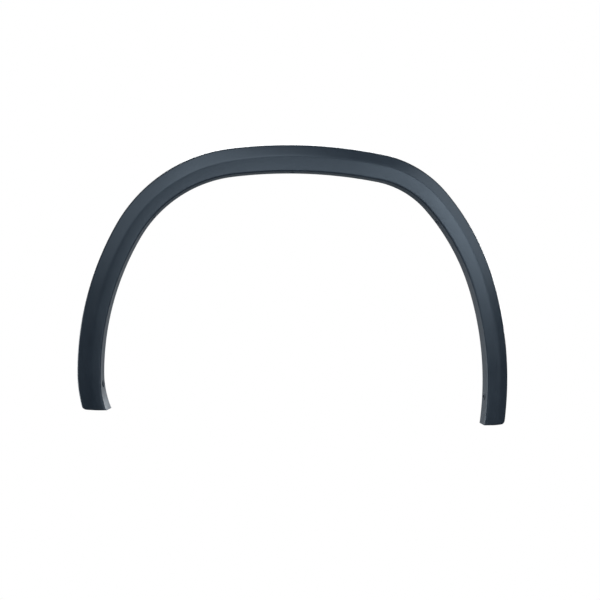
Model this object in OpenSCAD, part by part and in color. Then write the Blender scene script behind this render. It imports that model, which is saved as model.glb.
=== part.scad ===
// Wheel arch trim for a car: one injection moulded strip that frames the wheel opening.
//
// Seen from outside the car, +X runs towards the rear, +Z up and +Y into the car, so the
// visible face looks towards -Y. The origin is the screw hole at the crown of the arch.
//
// The inner edge of the strip follows a chain of tangent arcs, walked down from the crown
// to each foot. At every station a shell section is placed on the doubly curved body side:
// u runs outwards from the wheel opening, d runs outboard from the body panel.

/* [Wheel opening] */
// Radius of the flat arc over the crown
crown_r = 1025; // [900:10:1300]
// Turn of the crown arc towards the front, degrees
crown_front_turn = 7.1; // [4:0.1:9]
// Turn of the crown arc towards the rear, degrees
crown_rear_turn = 10.3; // [8:0.1:13]
// Radius of the front shoulder
front_shoulder_r = 267; // [230:5:320]
// Turn of the front shoulder, degrees
front_shoulder_turn = 52.7; // [48:0.1:56]
// Radius of the front leg
front_leg_r = 580; // [480:5:680]
// Turn of the front leg, degrees
front_leg_turn = 29.8; // [26:0.1:34]
// Radius of the hook at the front foot
front_foot_r = 200; // [170:5:260]
// Turn of the hook at the front foot, degrees
front_foot_turn = 22.5; // [18:0.5:26]
// Radius of the tight rear shoulder
rear_shoulder_r = 188; // [150:5:220]
// Turn of the rear shoulder, degrees
rear_shoulder_turn = 37.6; // [33:0.1:41]
// Radius of the rear haunch below the shoulder
rear_haunch_r = 475; // [380:5:520]
// Turn of the rear haunch, degrees
rear_haunch_turn = 24; // [20:0.1:27]
// Radius of the rear leg
rear_leg_r = 687; // [560:5:800]
// Turn of the rear leg, degrees
rear_leg_turn = 25; // [20:0.1:28]

/* [Body side] */
// Radius of the body side along the car
bow_r = 4500; // [3500:100:9000]
// Radius of the body side from top to bottom
lean_r = 6000; // [4500:100:9000]

/* [Section] */
// Width of the strip at the crown
crown_w = 59; // [52:0.5:64]
// Width of the strip at the front foot
front_w = 53.5; // [47:0.5:58]
// Width of the strip at the rear foot
rear_w = 49.5; // [42:0.5:54]
// Wall thickness of the moulding
wall = 2.5; // [2:0.1:2.8]
// Height of the outer edge over the body panel
edge_h = 5; // [4.8:0.1:6.5]
// Height of the crease at the crown
crease_h = 15; // [13.5:0.5:17]
// Height of the crease at both feet
foot_crease_h = 13.5; // [12.5:0.5:15]
// Distance of the crease from the outer edge, as a share of the width
crease_share = 0.42; // [0.36:0.01:0.5]
// The same share on the front shoulder and leg
front_crease_share = 0.52; // [0.42:0.01:0.56]
// Reach of the crease rounding to each side at the crown
crease_soft = 3; // [2:0.5:5]
// Reach of the crease rounding to each side at the feet
foot_crease_soft = 9; // [5:0.5:10]
// Height of the inner corner over the body panel
corner_h = 12; // [10:0.5:12.5]
// Reach of the inner corner rounding
corner_soft = 5.5; // [5:0.1:6.5]
// Reach of the outer edge rounding
edge_soft = 4.5; // [4.2:0.1:4.7]
// Depth of the return flange behind the body panel
flange_depth = 18; // [16:0.5:24]
// Draft of the return flange over its depth
flange_draft = 1.5; // [0.5:0.1:3]
// Extra flare of the flange into the wheel opening at the front foot
foot_flare = 4; // [0:0.5:7]

/* [Feet] */
// Length over which the strip turns level for its cut end
foot_blend = 90; // [60:5:120]
// Corner radius of a foot at the outer edge
foot_corner_r = 8; // [4:0.5:12]
// Edge radius where the face turns into the end wall
foot_edge_r = 2.5; // [1.5:0.1:3]

/* [Flange screws] */
// Screws through the flange in front of the crown screw
front_screws = 2; // [1:1:3]
// Screws through the flange behind the crown screw
rear_screws = 2; // [1:1:3]
// Radius of a screw hole
screw_r = 3.25; // [2.5:0.05:3.6]
// Radius of the raised seat round a screw hole
seat_r = 8; // [7:0.5:8.5]
// Thickness through the seat of a screw
seat_t = 5; // [4.5:0.1:6]
// Distance of a screw hole behind the body panel
screw_back = 8.5; // [7:0.5:9]

/* [Clip towers] */
// Clip towers on the front half
front_clips = 3; // [2:1:4]
// Clip towers on the rear half
rear_clips = 3; // [2:1:4]
// Length of a clip tower along the strip
tower_l = 20; // [17:0.5:24]
// Width of a clip tower across the strip
tower_w = 17; // [15:0.5:19]
// Thickness of the ribs and of the walls of a tower
rib_t = 1.8; // [1.4:0.1:2.2]
// Thickness of the plate that holds the clip
plate_t = 2; // [1.6:0.1:2.4]
// Gap between the clip plate and the body panel
plate_gap = 1; // [0.6:0.1:1.5]
// Radius of the clip neck in the keyhole
neck_r = 4.5; // [3.5:0.1:5]
// Width of the keyhole's way in
neck_slot = 6.5; // [4:0.1:6.8]

/* [Pegs and ribs] */
// Radius of a locating peg
peg_r = 3; // [2.5:0.1:3.5]
// Reach of a locating peg behind the body panel
peg_reach = 12; // [8:0.5:16]
// Distance of a gusset rib from the screw seat beside it
gusset_gap = 6; // [4:0.5:10]
// Gusset ribs between two screws
gussets_between = 3; // [1:1:4]

/* [Hidden] */
$fn = 48;
plastic = [0.19, 0.22, 0.26];

ring_step = 20;             // spacing of the sections along the strip
bend_steps = 4;             // facets in each rounding of the section
end_steps = [0, 0.7, foot_edge_r, foot_edge_r + 0.5, 5.5, 9, 15];
overlap = 0.4;              // how deep ribs sink into the wall beyond its middle
past = 1;                   // how far a cutting solid runs past a face

rear_arcs = [[crown_r, crown_rear_turn], [rear_shoulder_r, rear_shoulder_turn],
             [rear_haunch_r, rear_haunch_turn], [rear_leg_r, rear_leg_turn]];
front_arcs = [[crown_r, crown_front_turn], [front_shoulder_r, front_shoulder_turn],
              [front_leg_r, front_leg_turn], [front_foot_r, front_foot_turn]];

function arc_len(arc) = arc[0] * arc[1] * PI / 180;
function chain_len(arcs, i = 0) = i == len(arcs) ? 0 : arc_len(arcs[i]) + chain_len(arcs, i + 1);
front_len = chain_len(front_arcs);
rear_len = chain_len(rear_arcs);

function mix(a, b, t) = a + (b - a) * t;
function clamp01(t) = min(1, max(0, t));
function ease(t) = let (c = clamp01(t)) c * c * (3 - 2 * c);
function unit(v) = v / norm(v);

// Point and heading on a chain of arcs, at a distance from the crown
function walk(arcs, s, i = 0, p = [0, 0], h = 0) =
    let (r = arcs[i][0],
         l = arc_len(arcs[i]),
         last = i == len(arcs) - 1,
         turn = (s <= l || last) ? s / r * 180 / PI : arcs[i][1],
         q = p + r * [sin(h + turn) - sin(h), cos(h + turn) - cos(h)])
    (s <= l || last) ? [q, h + turn] : walk(arcs, s - l, i + 1, q, h + turn);

// The inner edge: negative stations lie in front of the crown, positive ones behind it
function spine(s) =
    s >= 0 ? walk(rear_arcs, s)
           : let (q = walk(front_arcs, -s)) [[-q[0].x, q[0].y], -q[1]];

// The body side that the trim is screwed to
function body_y(x, z) = x * x / (2 * bow_r) + z * z / (2 * lean_r) - screw_back;
function body_normal(x, z) = unit([x / bow_r, -1, z / lean_r]);

// How far station s lies from the crown, from 0 to 1 at the foot, and its distance to the cut end
function along(s) = s < 0 ? -s / front_len : s / rear_len;
function to_end(s) = s < 0 ? front_len + s : rear_len - s;

function strip_w(s) = mix(crown_w, s < 0 ? front_w : rear_w, ease(along(s)));
function crease_at(s) = mix(crease_share, s < 0 ? front_crease_share : crease_share, ease(3 * along(s)));
function crease_top(s) = mix(crease_h, foot_crease_h, ease(along(s)));
function crease_reach(s) = mix(crease_soft, foot_crease_soft, ease(1.6 * along(s) - 0.6));
function draft_at(s) = flange_draft + (s < 0 ? foot_flare * ease(1 - to_end(s) / foot_blend) : 0);

// Rounding between two straight stretches that meet at v
function bend(a, v, b, reach) =
    let (p = v + reach * unit(a - v), q = v + reach * unit(b - v))
    [for (i = [0 : bend_steps]) let (t = i / bend_steps)
        mix(mix(p, v, t), mix(v, q, t), t)];

// Outer skin of the section, from the body panel over the crease to the back of the flange
function skin(s) =
    let (w = strip_w(s),
         foot = [w, 0],
         edge = [w, edge_h],
         crease = [w * (1 - crease_at(s)), crease_top(s)],
         corner = [draft_at(s), corner_h],
         back = [0, -flange_depth],
         mid_flange = mix(back, corner, 0.45))
    concat([foot],
           bend(foot, edge, crease, edge_soft),
           [mix(edge, crease, 0.5)],
           bend(edge, crease, corner, crease_reach(s)),
           [mix(crease, corner, 0.55)],
           bend(crease, corner, back, corner_soft),
           [mid_flange, back]);
skin_n = 3 * (bend_steps + 1) + 5;
mid_outer = bend_steps + 2;
mid_inner = 2 * bend_steps + 4;
flange_mid = 3 * bend_steps + 6;

// The same line moved into the plastic by t, with mitred corners
function inset_at(line, i, t) =
    let (last = len(line) - 1,
         a = unit(line[min(i + 1, last)] - line[min(i, last - 1)]),
         b = unit(line[max(i, 1)] - line[max(i, 1) - 1]),
         na = [-a.y, a.x],
         nb = [-b.y, b.x],
         m = unit(na + nb))
    line[i] + m * t / (m * na);
function inset(line, t) = [for (i = [0 : len(line) - 1]) inset_at(line, i, t)];

// Rounded foot: the face drops and the corners draw in over the last millimetres
function quarter(r, x) = x >= r ? 0 : r - sqrt(r * r - (r - x) * (r - x));
function foot_round(s, p) =
    let (x = to_end(s),
         w = strip_w(s),
         out = quarter(foot_corner_r, x),
         drop = quarter(foot_edge_r, x) / crease_top(s))
    [p.x * (1 - out / w), p.y > 0 ? p.y * (1 - drop) : p.y];

// Within the end wall the hollow is closed level with the body panel
function closed_line(s, line) =
    [for (i = [0 : len(line) - 1])
        i >= flange_mid ? line[i]
                        : [mix(line[0].x, line[flange_mid].x, i / flange_mid), 0]];

// A section point on the body side, leaning towards the level cut near the foot
function seat(s, p) =
    let (q = spine(s),
         h = q[1],
         level = ease(1 - to_end(s) / foot_blend),
         slide = level == 0 ? 0 : level * p.x * cos(h) / sin(h),
         e = q[0] + p.x * [sin(h), cos(h)] + slide * [cos(h), -sin(h)])
    [e.x, body_y(e.x, e.y), e.y] + p.y * body_normal(e.x, e.y);

function ring(s) =
    let (outer = skin(s),
         hollow = inset(outer, wall),
         inner = to_end(s) <= foot_edge_r ? closed_line(s, hollow) : hollow)
    concat([for (p = outer) seat(s, foot_round(s, p))],
           [for (p = inner) seat(s, foot_round(s, p))]);

first_end = end_steps[len(end_steps) - 1];
mid_n = ceil((front_len + rear_len - 2 * first_end) / ring_step);
stations = concat([for (x = end_steps) x - front_len],
                  [for (i = [1 : mid_n - 1])
                      mix(first_end - front_len, rear_len - first_end, i / mid_n)],
                  [for (i = [len(end_steps) - 1 : -1 : 0]) rear_len - end_steps[i]]);
rings_n = len(stations);

// Faces between neighbouring sections: two skins, the two free edges and the two cut ends
function at(k, i) = k * 2 * skin_n + i;
shell_faces = concat(
    [for (k = [0 : rings_n - 2], i = [0 : skin_n - 2])
        [at(k, i), at(k + 1, i), at(k + 1, i + 1), at(k, i + 1)]],
    [for (k = [0 : rings_n - 2], i = [skin_n : 2 * skin_n - 2])
        [at(k, i + 1), at(k + 1, i + 1), at(k + 1, i), at(k, i)]],
    [for (k = [0 : rings_n - 2])
        [at(k, skin_n), at(k + 1, skin_n), at(k + 1, 0), at(k, 0)]],
    [for (k = [0 : rings_n - 2])
        [at(k, skin_n - 1), at(k + 1, skin_n - 1), at(k + 1, 2 * skin_n - 1), at(k, 2 * skin_n - 1)]],
    [for (i = [0 : skin_n - 2])
        [at(0, i), at(0, i + 1), at(0, i + 1 + skin_n), at(0, i + skin_n)]],
    [for (i = [0 : skin_n - 2])
        [at(rings_n - 1, i + 1), at(rings_n - 1, i),
         at(rings_n - 1, i + skin_n), at(rings_n - 1, i + 1 + skin_n)]]);

module shell() {
    polyhedron(points = [for (s = stations) each ring(s)], faces = shell_faces, convexity = 6);
}

// Local frame on the body side at station s: X along the strip, Y outwards, Z outboard
module on_body(s) {
    q = spine(s);
    o = [q[0].x, body_y(q[0].x, q[0].y), q[0].y];
    n = body_normal(q[0].x, q[0].y);
    run = [cos(q[1]), 0, -sin(q[1])];
    t = unit(run - (run * n) * n);
    u = cross(n, t);
    multmatrix([[t.x, u.x, n.x, o.x], [t.y, u.y, n.y, o.y], [t.z, u.z, n.z, o.z], [0, 0, 0, 1]])
        children();
}

// A plate across the strip, drawn as an outline in u and d
module across(outline) {
    rotate([90, 0, 90])
        linear_extrude(rib_t, center = true)
            polygon(outline);
}

// The middle of the wall between two points of the section, for ribs to root in
function wall_line(s, from, to) =
    let (line = inset(skin(s), wall / 2 + overlap))
    [for (i = [from : to]) line[i]];

// Screw seats: a flat ring on the flange, level with its back edge, and the hole through it
module screw_seat(s) {
    on_body(s)
        translate([0, 0, -screw_back])
            rotate([-90, 0, 0])
                cylinder(r = seat_r, h = seat_t);
}
module screw_hole(s) {
    on_body(s)
        translate([0, -past, -screw_back])
            rotate([-90, 0, 0])
                cylinder(r = screw_r, h = seat_t + 2 * past);
}

// Clip towers: two walls under the face and a plate with a keyhole for the panel clip
module clip_tower(s) {
    line = wall_line(s, mid_outer, mid_inner);
    u_mid = strip_w(s) * (1 - crease_at(s));
    u_out = u_mid + tower_w / 2;
    u_in = u_mid - tower_w / 2;
    low = plate_gap + plate_t;
    on_body(s) {
        for (side = [-1, 1])
            translate([side * (tower_l - rib_t) / 2, 0, 0])
                across(concat([[line[0].x, low]], line, [[line[len(line) - 1].x, low]]));
        difference() {
            translate([-tower_l / 2, u_in, plate_gap])
                cube([tower_l, tower_w, plate_t]);
            translate([0, u_mid, 0])
                cylinder(r = neck_r, h = 2 * low);
            translate([-neck_slot / 2, u_in - past, 0])
                cube([neck_slot, tower_w / 2 + past, 2 * low]);
        }
    }
}

// Locating pegs reach from the face through the body panel
module peg(s) {
    u_mid = strip_w(s) * (1 - crease_at(s));
    on_body(s)
        translate([0, u_mid, -peg_reach]) {
            cylinder(r1 = 0.6 * peg_r, r2 = peg_r, h = peg_r);
            translate([0, 0, peg_r])
                cylinder(r = peg_r, h = peg_reach - peg_r + crease_top(s) - wall - overlap);
        }
}

// Gusset ribs brace the flange against the face
module gusset(s) {
    on_body(s)
        across(wall_line(s, mid_inner, flange_mid));
}

function spread(n, length) = [for (i = [1 : n]) length * (i - 0.5) / n];

// Stations of all fastenings, from the front foot to the rear foot
foot_share = 0.15;
screw_stations = concat([for (i = [front_screws : -1 : 1]) -front_len * (i - foot_share) / front_screws],
                        [0],
                        [for (i = [1 : rear_screws]) rear_len * (i - foot_share) / rear_screws]);
clip_stations = concat([for (s = spread(front_clips, front_len)) -s],
                       spread(rear_clips, rear_len));
gusset_stations = concat(
    [for (s = screw_stations, side = [-1, 1]) s + side * (seat_r + gusset_gap)],
    [for (k = [1 : len(screw_stations) - 1], i = [1 : gussets_between])
        mix(screw_stations[k - 1], screw_stations[k], i / (gussets_between + 1))]);
peg_stations = [-front_len / 3, rear_len / 3];

module arch_trim() {
    color(plastic)
        difference() {
            union() {
                shell();
                for (s = screw_stations) screw_seat(s);
                for (s = clip_stations) clip_tower(s);
                for (s = gusset_stations) gusset(s);
                for (s = peg_stations) peg(s);
            }
            for (s = screw_stations) screw_hole(s);
        }
}

arch_trim();
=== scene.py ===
"""Wheel arch trim: the dressed moulding, its plain white stage, its lamps and its camera."""
import logging
import math
from contextlib import contextmanager
from dataclasses import dataclass, field
from enum import Enum
from typing import Any, ClassVar, Iterable, Iterator, Optional, Sequence

import bmesh
import bpy
from mathutils import Matrix, Vector


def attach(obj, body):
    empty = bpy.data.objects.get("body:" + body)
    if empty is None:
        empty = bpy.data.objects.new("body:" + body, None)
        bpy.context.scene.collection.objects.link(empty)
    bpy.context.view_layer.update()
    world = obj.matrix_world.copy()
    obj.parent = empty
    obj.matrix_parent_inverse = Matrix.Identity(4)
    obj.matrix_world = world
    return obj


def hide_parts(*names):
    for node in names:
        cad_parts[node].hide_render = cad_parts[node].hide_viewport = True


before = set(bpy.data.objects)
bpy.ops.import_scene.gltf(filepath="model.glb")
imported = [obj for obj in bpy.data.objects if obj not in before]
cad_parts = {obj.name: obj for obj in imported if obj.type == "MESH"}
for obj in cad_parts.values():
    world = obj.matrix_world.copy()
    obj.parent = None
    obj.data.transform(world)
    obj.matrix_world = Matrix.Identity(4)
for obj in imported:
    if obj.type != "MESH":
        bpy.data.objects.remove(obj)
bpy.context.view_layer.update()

LOG = logging.getLogger("arch_trim")
NODE = "arch_trim"
MM = 0.001
INSIDE = 0.1 * MM  # how far the fine skin stays inside the solid's box
MERGED = 0.01 * MM  # points closer than this become one
SLIVER = 0.05 * MM  # faces thinner than this are dissolved
QUAD = 4  # corners of a face, past which it is split before it is cleaned

Stop = tuple[float, float]  # place on a ramp and its level


class Maths(Enum):
    """Operations of the Math node that the trees use."""

    ADD = "ADD"
    SUBTRACT = "SUBTRACT"
    MULTIPLY = "MULTIPLY"
    DIVIDE = "DIVIDE"
    FLOOR = "FLOOR"
    MODULO = "MODULO"
    MAXIMUM = "MAXIMUM"
    MINIMUM = "MINIMUM"
    GREATER = "GREATER_THAN"


class Join(Enum):
    """How two closed solids are combined."""

    UNION = "UNION"
    DIFFERENCE = "DIFFERENCE"


class Term:
    """A number socket that can be used in a Python expression."""

    def __init__(self, net: "Net", socket: bpy.types.NodeSocket) -> None:
        """Keeps the socket and the net that it belongs to."""
        self.net = net
        self.socket = socket

    def _do(self, operation: Maths, first: Any, second: Any = None) -> "Term":
        """Adds one Math node.

        Args:
            operation: what the node works out.
            first: its first value or term.
            second: its second value or term, if it has one.

        Returns:
            The node's result.
        """
        values = [first] if second is None else [first, second]
        node = self.net.add("ShaderNodeMath", {"operation": operation.value}, dict(enumerate(values)))
        return Term(self.net, node.outputs[0])

    def __add__(self, other: Any) -> "Term":
        """Sum."""
        return self._do(Maths.ADD, self, other)

    __radd__ = __add__

    def __sub__(self, other: Any) -> "Term":
        """Difference."""
        return self._do(Maths.SUBTRACT, self, other)

    def __rsub__(self, other: Any) -> "Term":
        """Difference from a plain number."""
        return self._do(Maths.SUBTRACT, other, self)

    def __mul__(self, other: Any) -> "Term":
        """Product."""
        return self._do(Maths.MULTIPLY, self, other)

    __rmul__ = __mul__

    def __truediv__(self, other: Any) -> "Term":
        """Quotient."""
        return self._do(Maths.DIVIDE, self, other)

    def __rtruediv__(self, other: Any) -> "Term":
        """Quotient of a plain number."""
        return self._do(Maths.DIVIDE, other, self)

    def floor(self) -> "Term":
        """Largest whole number below."""
        return self._do(Maths.FLOOR, self)

    def modulo(self, other: Any) -> "Term":
        """Remainder."""
        return self._do(Maths.MODULO, self, other)

    def at_least(self, other: Any) -> "Term":
        """The larger of the two."""
        return self._do(Maths.MAXIMUM, self, other)

    def at_most(self, other: Any) -> "Term":
        """The smaller of the two."""
        return self._do(Maths.MINIMUM, self, other)

    def above(self, other: Any) -> "Term":
        """1 where this is greater, else 0."""
        return self._do(Maths.GREATER, self, other)

    def over(self, other: Any) -> "Term":
        """How many whole times another whole number goes into this one."""
        return ((self + 0.5) / other).floor()


class Arrow:
    """A vector socket that can be used in a Python expression."""

    def __init__(self, net: "Net", socket: bpy.types.NodeSocket) -> None:
        """Keeps the socket and the net that it belongs to."""
        self.net = net
        self.socket = socket

    def _do(self, operation: str, values: dict[int, Any]) -> "Arrow":
        """Adds one Vector Math node.

        Args:
            operation: what the node works out.
            values: its inputs by place.

        Returns:
            The node's vector.
        """
        node = self.net.add("ShaderNodeVectorMath", {"operation": operation}, values)
        return Arrow(self.net, node.outputs["Vector"])

    def __add__(self, other: "Arrow") -> "Arrow":
        """Sum."""
        return self._do("ADD", {0: self, 1: other})

    def __sub__(self, other: "Arrow") -> "Arrow":
        """Difference."""
        return self._do("SUBTRACT", {0: self, 1: other})

    def __mul__(self, factor: Any) -> "Arrow":
        """This vector, longer or shorter."""
        return self._do("SCALE", {0: self, 3: factor})

    __rmul__ = __mul__

    def unit(self) -> "Arrow":
        """The same direction at length one, or nothing for nothing."""
        return self._do("NORMALIZE", {0: self})

    def parts(self) -> tuple[Term, Term, Term]:
        """The three numbers of the vector."""
        node = self.net.add("ShaderNodeSeparateXYZ", {}, {0: self})
        return tuple(Term(self.net, out) for out in node.outputs)


class Net:
    """Adds nodes to one tree, of geometry or of a material."""

    def __init__(self, tree: bpy.types.NodeTree) -> None:
        """Keeps the tree."""
        self.tree = tree

    def add(self, kind: str, settings: dict[str, Any], values: dict[Any, Any]) -> bpy.types.Node:
        """Adds a node.

        Args:
            kind: the node's type.
            settings: its settings, set before any input.
            values: its inputs by name or place: a plain value, or a term to link.

        Returns:
            The node.
        """
        node = self.tree.nodes.new(kind)
        for name, value in settings.items():
            setattr(node, name, value)
        for key, value in values.items():
            self.feed(node.inputs[key], value)
        return node

    def feed(self, socket: bpy.types.NodeSocket, value: Any) -> None:
        """Links a term to a socket, or sets the socket's own value.

        Args:
            socket: the input.
            value: a term, another node's socket or a plain value.
        """
        if isinstance(value, (Term, Arrow)):
            self.tree.links.new(value.socket, socket)
        elif isinstance(value, bpy.types.NodeSocket):
            self.tree.links.new(value, socket)
        else:
            socket.default_value = value

    def arrow(self, x: Any, y: Any, z: Any) -> Arrow:
        """A vector of three terms or numbers."""
        return Arrow(self, self.add("ShaderNodeCombineXYZ", {}, {0: x, 1: y, 2: z}).outputs[0])

    def ramp(self, value: Any, stops: Sequence[Stop]) -> Term:
        """A grey ramp of a value.

        Args:
            value: the term that is looked up.
            stops: places from 0 to 1, each with its grey level.

        Returns:
            The level.
        """
        node = self.tree.nodes.new("ShaderNodeValToRGB")
        elements = node.color_ramp.elements
        for place, (at, level) in enumerate(stops):
            stop = elements[place] if place < len(elements) else elements.new(at)
            stop.position = at
            stop.color = (level, level, level, 1.0)
        self.feed(node.inputs[0], value)
        return Term(self, node.outputs[0])


class GeometryNet(Net):
    """A Geometry Nodes tree with named inputs, ended by Realize Instances and Set Material."""

    def __init__(self, name: str, sizes: dict[str, float],
                 counts: Optional[dict[str, int]] = None) -> None:
        """Makes the tree.

        Args:
            name: the tree's name.
            sizes: its lengths and other numbers, each a named input.
            counts: its whole numbers, each a named input.
        """
        super().__init__(bpy.data.node_groups.new(name, "GeometryNodeTree"))
        face = self.tree.interface
        face.new_socket("Geometry", in_out="INPUT", socket_type="NodeSocketGeometry")
        self.values: dict[str, Any] = {}
        for kind, numbers in (("NodeSocketFloat", sizes), ("NodeSocketInt", counts or {})):
            for label, number in numbers.items():
                face.new_socket(label, in_out="INPUT", socket_type=kind)
                self.values[label] = number
        face.new_socket("Material", in_out="INPUT", socket_type="NodeSocketMaterial")
        face.new_socket("Geometry", in_out="OUTPUT", socket_type="NodeSocketGeometry")
        self.start = self.tree.nodes.new("NodeGroupInput")

    def size(self, label: str) -> Term:
        """A named input, as a term."""
        return Term(self, self.start.outputs[label])

    def named(self, label: str) -> Arrow:
        """A vector attribute that the stations carry.

        Args:
            label: the attribute's name.

        Returns:
            The vector.
        """
        settings = {"data_type": "FLOAT_VECTOR"}
        node = self.add("GeometryNodeInputNamedAttribute", settings, {"Name": label})
        return Arrow(self, node.outputs["Attribute"])

    def index(self) -> Term:
        """The number of the point."""
        return Term(self, self.add("GeometryNodeInputIndex", {}, {}).outputs[0])

    def count(self, geometry: Any) -> Term:
        """How many points a mesh has."""
        node = self.add("GeometryNodeAttributeDomainSize", {"component": "MESH"}, {"Geometry": geometry})
        return Term(self, node.outputs["Point Count"])

    def taken_from(self, geometry: Any, value: Arrow, index: Term) -> Arrow:
        """The value that another geometry's point holds.

        Args:
            geometry: the geometry that is read.
            value: the vector to read there.
            index: the point's number.

        Returns:
            The vector.
        """
        settings = {"data_type": "FLOAT_VECTOR", "domain": "POINT"}
        node = self.add("GeometryNodeSampleIndex", settings,
                        {"Geometry": geometry, "Value": value, "Index": index})
        return Arrow(self, node.outputs[0])

    def pick(self, index: Term, choices: Sequence[Arrow]) -> Arrow:
        """One of several vectors, by number.

        Args:
            index: the number.
            choices: the vectors, from number 0.

        Returns:
            The chosen vector.
        """
        node = self.tree.nodes.new("GeometryNodeIndexSwitch")
        node.data_type = "VECTOR"
        while len(node.index_switch_items) < len(choices):
            node.index_switch_items.new()
        self.feed(node.inputs[0], index)
        for place, choice in enumerate(choices):
            self.feed(node.inputs[place + 1], choice)
        return Arrow(self, node.outputs[0])

    def laid(self, rows: Term, across: Term, place: Arrow) -> bpy.types.NodeSocket:
        """A sheet of faces, each point at its place.

        Args:
            rows: how many rows of points it has.
            across: how many points are in a row.
            place: where each point goes.

        Returns:
            The sheet.
        """
        grid = self.add("GeometryNodeMeshGrid", {}, {"Vertices X": rows, "Vertices Y": across})
        moved = self.add("GeometryNodeSetPosition", {}, {
            "Geometry": grid.outputs["Mesh"], "Position": place})
        return moved.outputs[0]

    def close(self, geometry: Any) -> None:
        """Ends the tree with real meshes and their material.

        Args:
            geometry: what the tree makes.
        """
        real = self.add("GeometryNodeRealizeInstances", {}, {"Geometry": geometry})
        skin = self.add("GeometryNodeSetMaterial", {}, {"Geometry": real.outputs[0],
                                                        "Material": self.start.outputs["Material"]})
        end = self.tree.nodes.new("NodeGroupOutput")
        self.tree.links.new(skin.outputs[0], end.inputs["Geometry"])

    def apply(self, holder: bpy.types.Object, material: bpy.types.Material) -> None:
        """Runs the tree on an object and keeps the result as its plain mesh.

        Args:
            holder: the object whose points the tree reads.
            material: what the result is made of.
        """
        modifier = holder.modifiers.new(self.tree.name, "NODES")
        modifier.node_group = self.tree
        for item in self.tree.interface.items_tree:
            if item.in_out == "INPUT" and item.name in self.values:
                modifier[item.identifier] = self.values[item.name]
            elif item.in_out == "INPUT" and item.name == "Material":
                modifier[item.identifier] = material
        bake_modifiers(holder)


def bake_modifiers(piece: bpy.types.Object) -> None:
    """Turns a piece's modifiers into its own mesh.

    Args:
        piece: the object.
    """
    bpy.context.view_layer.update()
    graph = bpy.context.evaluated_depsgraph_get()
    mesh = bpy.data.meshes.new_from_object(piece.evaluated_get(graph), depsgraph=graph)
    piece.modifiers.clear()
    old = piece.data
    piece.data = mesh
    bpy.data.meshes.remove(old)


def new_piece(name: str, data: bpy.types.ID) -> bpy.types.Object:
    """Puts a mesh, a lamp or a camera in the scene, at the origin.

    Args:
        name: the object's name.
        data: what it shows.

    Returns:
        The object.
    """
    piece = bpy.data.objects.new(name, data)
    bpy.context.scene.collection.objects.link(piece)
    return piece


def combine(base: bpy.types.Object, tool: bpy.types.Object, how: Join) -> None:
    """Adds a closed solid to another, or cuts it away, and deletes it.

    Args:
        base: the solid that stays.
        tool: the solid that is used up.
        how: whether it is added or cut away.
    """
    modifier = base.modifiers.new(how.value, "BOOLEAN")
    modifier.operation = how.value
    modifier.solver = "EXACT"
    modifier.object = tool
    bake_modifiers(base)
    bpy.data.objects.remove(tool, do_unlink=True)


@contextmanager
def opened(mesh: bpy.types.Mesh) -> Iterator[bmesh.types.BMesh]:
    """Opens a mesh for editing and writes it back at the end of the block.

    Args:
        mesh: the mesh.

    Yields:
        Its points, edges and faces.
    """
    cage = bmesh.new()
    cage.from_mesh(mesh)
    yield cage
    cage.to_mesh(mesh)
    cage.free()


def join_loops(cage: bmesh.types.BMesh, low: Sequence[bmesh.types.BMVert],
               high: Sequence[bmesh.types.BMVert]) -> None:
    """Joins two closed loops with a band of faces.

    Args:
        cage: the opened mesh.
        low: points of the first loop.
        high: as many points of the second.
    """
    for k, (here, above) in enumerate(zip(low, high)):
        n = (k + 1) % len(low)
        cage.faces.new((here, low[n], high[n], above))


def clear_slivers(cage: bmesh.types.BMesh) -> None:
    """Takes out doubled points, stray faces that hang by one edge, and faces too thin to see.

    Args:
        cage: the opened mesh.
    """
    bmesh.ops.remove_doubles(cage, verts=cage.verts, dist=MERGED)
    strays = [face for face in cage.faces if sum(len(edge.link_faces) == 1 for edge in face.edges) > 1]
    bmesh.ops.delete(cage, geom=strays, context="FACES")
    bmesh.ops.triangulate(cage, faces=[face for face in cage.faces if len(face.verts) > QUAD])
    bmesh.ops.dissolve_degenerate(cage, edges=cage.edges, dist=SLIVER)


def smooth_by_angle(mesh: bpy.types.Mesh, degrees: float) -> None:
    """Cleans a mesh and shades it smooth, with sharp edges where it turns by more than an angle.

    Args:
        mesh: the mesh.
        degrees: the angle.
    """
    with opened(mesh) as cage:
        clear_slivers(cage)
        bmesh.ops.recalc_face_normals(cage, faces=cage.faces)
        for face in cage.faces:
            face.smooth = True
        for edge in cage.edges:
            edge.smooth = len(edge.link_faces) == 2 and edge.calc_face_angle(0.0) < math.radians(degrees)


def ease(t: float) -> float:
    """Smooth step from 0 to 1."""
    c = min(1.0, max(0.0, t))
    return c * c * (3.0 - 2.0 * c)


def mix(a: float, b: float, t: float) -> float:
    """Value between a and b."""
    return a + (b - a) * t


def blended(terms: Sequence[Term], shares: Sequence[float]) -> Term:
    """Sum of terms, each times its share.

    Args:
        terms: the terms.
        shares: their shares.

    Returns:
        The sum.
    """
    total = terms[0] * shares[0]
    for term, share in zip(terms[1:], shares[1:]):
        total = total + term * share
    return total


def direction(azimuth: float, elevation: float) -> Vector:
    """Unit vector from the arch to a place round it.

    Args:
        azimuth: in degrees, 0 in front and positive to the rear.
        elevation: height, in degrees.

    Returns:
        The vector.
    """
    turn, rise = math.radians(azimuth), math.radians(elevation)
    return Vector((math.sin(turn) * math.cos(rise), -math.cos(turn) * math.cos(rise), math.sin(rise)))


def aimed(name: str, data: bpy.types.ID, place: Vector, target: Vector) -> bpy.types.Object:
    """Puts a lamp or the camera at a place, turned towards a target.

    Args:
        name: the object's name.
        data: the lamp or the camera.
        place: where it stands.
        target: what it points at.

    Returns:
        The object.
    """
    holder = new_piece(name, data)
    holder.location = place
    holder.rotation_euler = (target - place).to_track_quat("-Z", "Y").to_euler()
    return holder


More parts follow.
